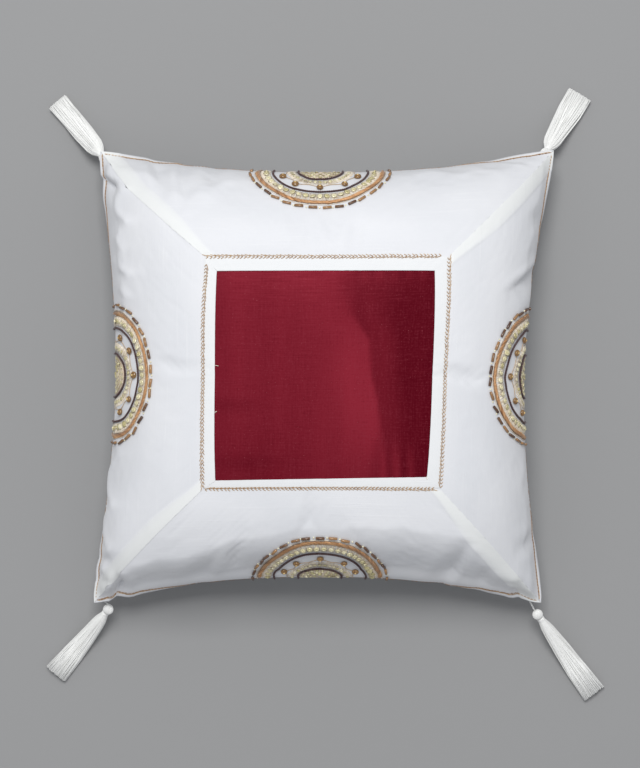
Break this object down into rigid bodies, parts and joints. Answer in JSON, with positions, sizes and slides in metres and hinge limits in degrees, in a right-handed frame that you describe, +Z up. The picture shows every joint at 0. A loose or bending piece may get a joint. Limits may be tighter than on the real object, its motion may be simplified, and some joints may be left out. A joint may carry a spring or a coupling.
{
  "type": "filled cushion cover with corner tassels",
  "caption": "Square filled cushion cover with a satin centre, mitred borders, beaded half medallions and a tassel at each corner, lying on its back.",
  "frame": {"origin": "on the floor, in the middle of the flat spot that the cover's back rests on", "axes": "+Z up, out of the front face; +Y towards the top of the design; +X to its right"},
  "size_m": [0.4715, 0.519, 0.1313],
  "materials": {
    "white_dupion": "soft slubbed cloth with a low sheen",
    "maroon_satin": "satin with a silky sheen and fine slubs",
    "tassel_thread": "glossy twisted thread",
    "metal_thread": "copper and gold wrapped thread",
    "gilt_beads": "small glossy glass and metal beads"
  },
  "bodies": {
    "root": {"cushion": "white_dupion", "centre_panel": "maroon_satin", "border_north": "white_dupion", "border_east": "white_dupion", "border_south": "white_dupion", "border_west": "white_dupion", "tassel_nw": "tassel_thread", "tassel_ne": "tassel_thread", "tassel_se": "tassel_thread", "tassel_sw": "tassel_thread"}
  },
  "joints": []
}
